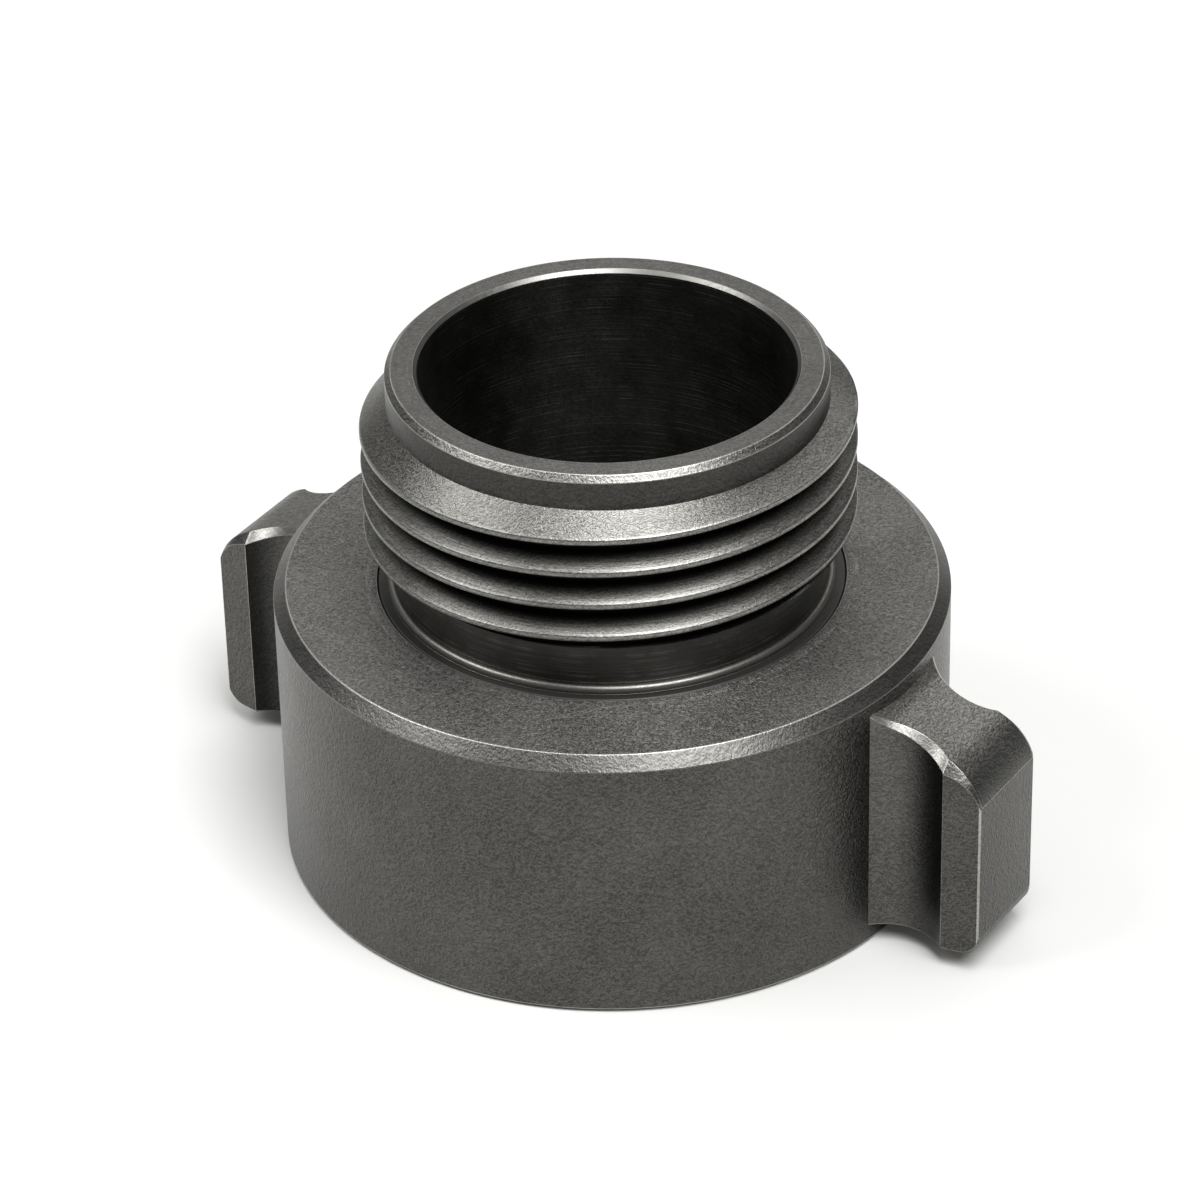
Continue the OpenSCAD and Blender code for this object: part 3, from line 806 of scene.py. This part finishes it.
# %% Nut
NUT_R, NUT_CHAMFER, FOOT_CHAMFER, MOUTH_CHAMFER = 35.0, 1.3, 0.4, 0.5
BEARING_R, RING_BITE = 24.18, 0.8
seat_half, ring_groove_r = WIRE_R + RING_SEAT, BEARING_R + RING_BITE
nut_profile = [
    (MOUTH_R, MOUTH_H), (MOUTH_R, MOUTH_CHAMFER), (MOUTH_R + MOUTH_CHAMFER, 0), (NUT_R - FOOT_CHAMFER, 0),
    (NUT_R, FOOT_CHAMFER), (NUT_R, NUT_H - NUT_CHAMFER, 0.12, 0.35), (NUT_R - NUT_CHAMFER, NUT_H, 0.15),
    # The inner top edge's high wear is partly rubbed metal and partly a painted highlight along the joint
    (BEARING_R + JOINT_CHAMFER, NUT_H, 0.04, 0.8), (BEARING_R, NUT_H - JOINT_CHAMFER, 0.03, 0.2),
    (BEARING_R, RING_Z + seat_half), (ring_groove_r, RING_Z + seat_half), (ring_groove_r, RING_Z - seat_half),
    (BEARING_R, RING_Z - seat_half), (BEARING_R, TAIL_Z), (RECESS_R, TAIL_Z), (RECESS_R, SEAT_Z),
]
nut_points, nut_edge = subdivide(*rounded(nut_profile, ROUNDING), 3)


def nut_finish(r, z):
    """Slot of a row whose middle is at r and z: top face, inside or chamfer, or else the wall."""
    return np.select([
        (z > NUT_H - 0.05) & (r < NUT_R - NUT_CHAMFER - 0.08),
        (r < BEARING_R + 0.1) | (r < RECESS_R + 0.1) & (z > 0.02) & (z < NUT_H - 0.1),
        z > NUT_H - NUT_CHAMFER - 0.03,
    ], [FACE, INSIDE, CHAMFER], WALL)


nut = make_piece("nut_surface", [socket_part, spun_part(nut_points, nut_edge, nut_finish)], nut_finishes)

# %% [markdown]
# ## The outline of a lug
#
# Two wing lugs let a hand or a spanner turn the nut. Seen from above, each side of a lug is a hollow
# arc, here called a gullet, from the nut's wall to a corner, and then a straight taper to the end. An
# arc of the chord c and the depth d has the radius (c^2 / 4 + d^2) / 2d, so the two ends and the depth
# set it. Cutting a cylinder away would do as well, but the loft needs the width as a formula.

# %% Sides of a lug
LUG_LEN, LUG_ROOT_W, LUG_W, LUG_END_W, LUG_FACET, GULLET_DEPTH = 11.6, 14.6, 12.4, 11.2, 4.0, 2.0
LUG_BURY = 0.5
TIP = NUT_R + LUG_LEN
CORNER = TIP - LUG_FACET
ROOT = math.sqrt((NUT_R - LUG_BURY) ** 2 - (LUG_ROOT_W / 2) ** 2)

chord = np.array([CORNER - ROOT, (LUG_W - LUG_ROOT_W) / 2])
chord_len = np.linalg.norm(chord)
gullet_r = ((chord_len / 2) ** 2 + GULLET_DEPTH ** 2) / (2 * GULLET_DEPTH)
gullet_u, gullet_v = (np.array([ROOT, LUG_ROOT_W / 2]) + chord / 2
                      + np.array([-chord[1], chord[0]]) / chord_len * (gullet_r - GULLET_DEPTH))


def lug_half(u):
    """Half width at the distance u from the axis: the gullet's arc up to the corner, then the taper."""
    gullet = gullet_v - np.sqrt(gullet_r ** 2 - (np.clip(u, ROOT, CORNER) - gullet_u) ** 2)
    return np.where(u < CORNER, gullet, LUG_W / 2 - (LUG_W - LUG_END_W) / 2 * (u - CORNER) / LUG_FACET)


print("radius of a gullet:", round(gullet_r, 2))

# %% [markdown]
# ## The top and the foot of a lug
#
# Seen from the side, the top starts in a hollow at the wall, slopes down a little like a saddle and
# ends in a round nose. The foot is flat with a round toe. Both arcs of the top touch the slope, so their
# centres follow from its angle. A curve drawn by hand would do, but it would not stay smooth when a size
# changes.

# %% Top and foot of a lug
LUG_LIFT, LUG_DROP, LUG_SLOPE = 2.0, 0.3, math.radians(18)
HOLLOW_R, HOLLOW_LEAN, NOSE_R, NOSE_LEAN, TOE_R = 5.0, math.radians(60), 6.5, math.radians(75), 2.2
TOP_Z = NUT_H - NUT_CHAMFER - LUG_DROP
slope_start = ROOT + HOLLOW_R * (math.sin(HOLLOW_LEAN) - math.sin(LUG_SLOPE))
nose_start = TIP - NOSE_R * (math.sin(NOSE_LEAN) - math.sin(LUG_SLOPE))
slope_z = TOP_Z - HOLLOW_R * (math.cos(LUG_SLOPE) - math.cos(HOLLOW_LEAN))
nose_z = slope_z - (nose_start - slope_start) * math.tan(LUG_SLOPE)


def lug_top(u):
    """Height of the top at the distance u: the hollow's arc, the slope, then the nose's arc."""
    lean, rise = math.sin(LUG_SLOPE), math.cos(LUG_SLOPE)
    hollow_u, hollow_z = slope_start + HOLLOW_R * lean, slope_z + HOLLOW_R * rise
    round_u, round_z = nose_start - NOSE_R * lean, nose_z - NOSE_R * rise
    hollow = hollow_z - np.sqrt(np.maximum(HOLLOW_R ** 2 - (np.maximum(u, ROOT) - hollow_u) ** 2, 0))
    slope = slope_z - (u - slope_start) * math.tan(LUG_SLOPE)
    nose = round_z + np.sqrt(np.maximum(NOSE_R ** 2 - (u - round_u) ** 2, 0))
    return np.select([u < slope_start, u < nose_start], [hollow, slope], nose)


def lug_foot(u):
    """Height of the underside, which rises by R - sqrt(R^2 - x^2) at x past the start of the toe."""
    over = np.maximum(u - (TIP - TOE_R), 0)
    return LUG_LIFT + TOE_R - np.sqrt(np.maximum(TOE_R ** 2 - over ** 2, 0))


print("top of a lug, root to tip:", lug_top(np.array([ROOT, CORNER, TIP])).round(1).tolist())

# %% [markdown]
# ## The lugs
#
# A lug is a row of eight-cornered sections from inside the nut's wall to the end face. Bevels run along
# its upper edges, widest at the corner and narrow at both ends. A cube cut by hand could get close, but
# sections follow the three outlines above exactly. A Bevel modifier, applied at once, rounds all long
# edges and puts the small new faces in the slot for rubbed metal. It stays narrow where sections stand
# close, so the corners of the end face get their strip from the last section instead.

# %% Lugs
LUG_BEVEL, EDGE_BREAK, END_BREAK, LUG_ROUNDING = 1.1, 0.25, 0.15, 0.15
ROOT_STEPS, END_STEPS, LUG_INSIDE = 29, 13, 6
BEVEL_ANGLE, LUG_SHARP_ANGLE = math.radians(12), math.radians(11)


def lug_sections():
    """Points, quads and slots of the sections at the distances u, each of eight points.

    The sections crowd towards the end by a sine, where the nose turns fastest. The bevel's width rises
    evenly from the root to the corner and falls again to the tip.
    """
    crowd = np.sin(math.pi / 2 * np.arange(1, END_STEPS + 1) / END_STEPS)
    u = np.concatenate([[NUT_R - LUG_INSIDE], np.linspace(ROOT, CORNER, ROOT_STEPS),
                        CORNER + (LUG_FACET - END_BREAK) * crowd, [TIP]])
    w, low, high = lug_half(u) - END_BREAK * (u == TIP), lug_foot(u), lug_top(u)
    e = EDGE_BREAK + (LUG_BEVEL - EDGE_BREAK) * np.interp(u, [ROOT, CORNER, TIP], [0, 1, 0])
    b = EDGE_BREAK
    v = np.stack([-w + b, w - b, w, w, w - e, -w + e, -w, -w], 1)
    z = np.stack([low, low, low + b, high - e, high, high, high - e, low + b], 1)
    points = np.stack(np.broadcast_arrays(u[:, None], v, z), -1)
    side = np.where(u[1:] <= CORNER, GULLET, WALL)
    # The end face's corners get rubbed metal, partly real wear and partly a painted highlight down the corner
    side[-1] = WORN
    bevel = np.where(side == GULLET, WORN, CHAMFER)
    slots = np.stack(np.broadcast_arrays(WALL, WALL, side, bevel, CROWN, bevel, side, WALL), 1)
    return points, grid_faces(points)[:, [0, 3, 2, 1]], slots.ravel()


def make_lug(name, side):
    """A lug as its own object, on the side +1 or -1 of the nut. A half turn about Z is (-x, -y, z)."""
    grid, quads, slots = lug_sections()
    points = grid.reshape(-1, 3) * (side, side, 1)
    root_cap, end_cap = list(range(7, -1, -1)), list(range(len(points) - 8, len(points)))
    faces = [root_cap, *quads.tolist(), end_cap]
    obj = add_object(name, new_mesh(name, points, faces, nut_finishes, [WALL, *slots, WALL]))
    bevel = obj.modifiers.new("edge rounding", "BEVEL")
    bevel.width, bevel.segments, bevel.limit_method = LUG_ROUNDING * MM, 2, "ANGLE"
    bevel.angle_limit, bevel.material = BEVEL_ANGLE, WORN
    finished = bpy.data.meshes.new_from_object(obj.evaluated_get(bpy.context.evaluated_depsgraph_get()))
    obj.modifiers.clear()
    obj.data = finished
    finished.set_sharp_from_angle(angle=LUG_SHARP_ANGLE)
    print(name, len(finished.polygons), "faces")
    return obj


lugs = [make_lug("lug_right", 1), make_lug("lug_left", -1)]

# %% [markdown]
# ## Joining the nut
#
# The lugs and the nut are one casting, so they become one object. A boolean would cut their overlap
# away, but the lugs' roots lie hidden inside the wall, so a plain join looks the same and keeps every
# face. All three have the same list of finishes, so each face keeps its own.

# %% Join the lugs to the nut
with bpy.context.temp_override(active_object=nut, object=nut, selected_objects=[nut, *lugs],
                               selected_editable_objects=[nut, *lugs]):
    bpy.ops.object.join()
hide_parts("swivel_nut")
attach(nut, "nut")
print("nut:", len(nut.data.polygons), "faces,", len(nut.data.materials), "finishes")

# %% [markdown]
# ## The gasket
#
# The gasket is a flat rubber washer at the bottom of the female thread, where a mating hose end seals. A
# washer could be cut from a sheet with sharp edges, but this one is moulded, so all its corners are
# soft. Its profile closes on itself, and it lies a hair above its seat.

# %% Gasket
GASKET_T, GASKET_GAP, GASKET_SEAM, GASKET_ROUND, HAIR = 3.4, 0.3, 1.5, 0.35, 0.02
gasket_out, gasket_in = RECESS_R - GASKET_GAP, BORE_R + GASKET_GAP
gasket_profile = [
    (gasket_in, SEAT_Z + GASKET_SEAM), (gasket_in, SEAT_Z + HAIR), (gasket_out, SEAT_Z + HAIR),
    (gasket_out, SEAT_Z + GASKET_T), (gasket_in, SEAT_Z + GASKET_T), (gasket_in, SEAT_Z + GASKET_SEAM),
]
gasket_points, gasket_edge = subdivide(*rounded(gasket_profile, GASKET_ROUND, 4), 2)
gasket = make_piece("gasket_surface", [spun_part(gasket_points, gasket_edge, lambda r, z: np.zeros(len(r)))])
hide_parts("hose_gasket")
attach(gasket, "nut")

# %% [markdown]
# ## Rubber
#
# Moulded rubber is a dielectric: no metal, a high roughness, and a faint pebble of half a millimetre
# from the mould. A slow cloud of grey is the bloom that comes to its surface with age. A plain black
# would do for the colour alone, but it would look like a hole.

# %% Rubber
PEBBLE, BLOOM = 0.5, 7

rubber, tree, shader = start_material("moulded rubber")
place = add_node(tree, "ShaderNodeTexCoord", out="Object")
pebble = add_node(tree, "ShaderNodeTexNoise", {"Vector": place, "Scale": 1 / (PEBBLE * MM), "Detail": 3.0})
bloom = add_node(tree, "ShaderNodeTexNoise", {"Vector": place, "Scale": 1 / (BLOOM * MM), "Detail": 4.0})
colour = add_node(tree, "ShaderNodeMix", {0: bloom, 6: linear("#171716"), 7: linear("#2c2b29")}, 2,
                  data_type="RGBA")
bump = add_node(tree, "ShaderNodeBump", {"Height": pebble, "Distance": 0.03 * MM})
tree.links.new(colour, shader.inputs["Base Color"])
tree.links.new(bump, shader.inputs["Normal"])
shader.inputs["Roughness"].default_value = 0.75
gasket.data.materials.append(rubber)
print("rubber with a pebble of", PEBBLE, "mm")

# %% [markdown]
# ## Wire
#
# The retaining ring is a split ring of spring steel wire, hidden between the nut and the tail. Its CAD
# shape is right, so it keeps its mesh and only needs its finish. Drawn wire is bright and has fine
# scratches along its length, which for a ring means round the axis. Real ones are too fine to show, so
# they are drawn 0.15 mm apart.

# %% Wire
SCRATCH = 0.15

wire, tree, shader = start_material("drawn steel wire")
lathe = round_axis(tree, add_node(tree, "ShaderNodeTexCoord", out="Object"))[2]
scratch = add_node(tree, "ShaderNodeTexNoise", {"Vector": lathe, "Scale": 1 / (SCRATCH * MM), "Detail": 3.0})
colour = add_node(tree, "ShaderNodeMix", {0: scratch, 6: linear("#8e8e8c"), 7: linear("#b4b4b1")}, 2,
                  data_type="RGBA")
bump = add_node(tree, "ShaderNodeBump", {"Height": scratch, "Distance": 0.01 * MM})
tree.links.new(colour, shader.inputs["Base Color"])
tree.links.new(bump, shader.inputs["Normal"])
shader.inputs["Metallic"].default_value = 1.0
shader.inputs["Roughness"].default_value = 0.3
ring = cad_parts["retaining_ring"]
ring.data.materials.clear()
ring.data.materials.append(wire)
print("wire on", ring.name)
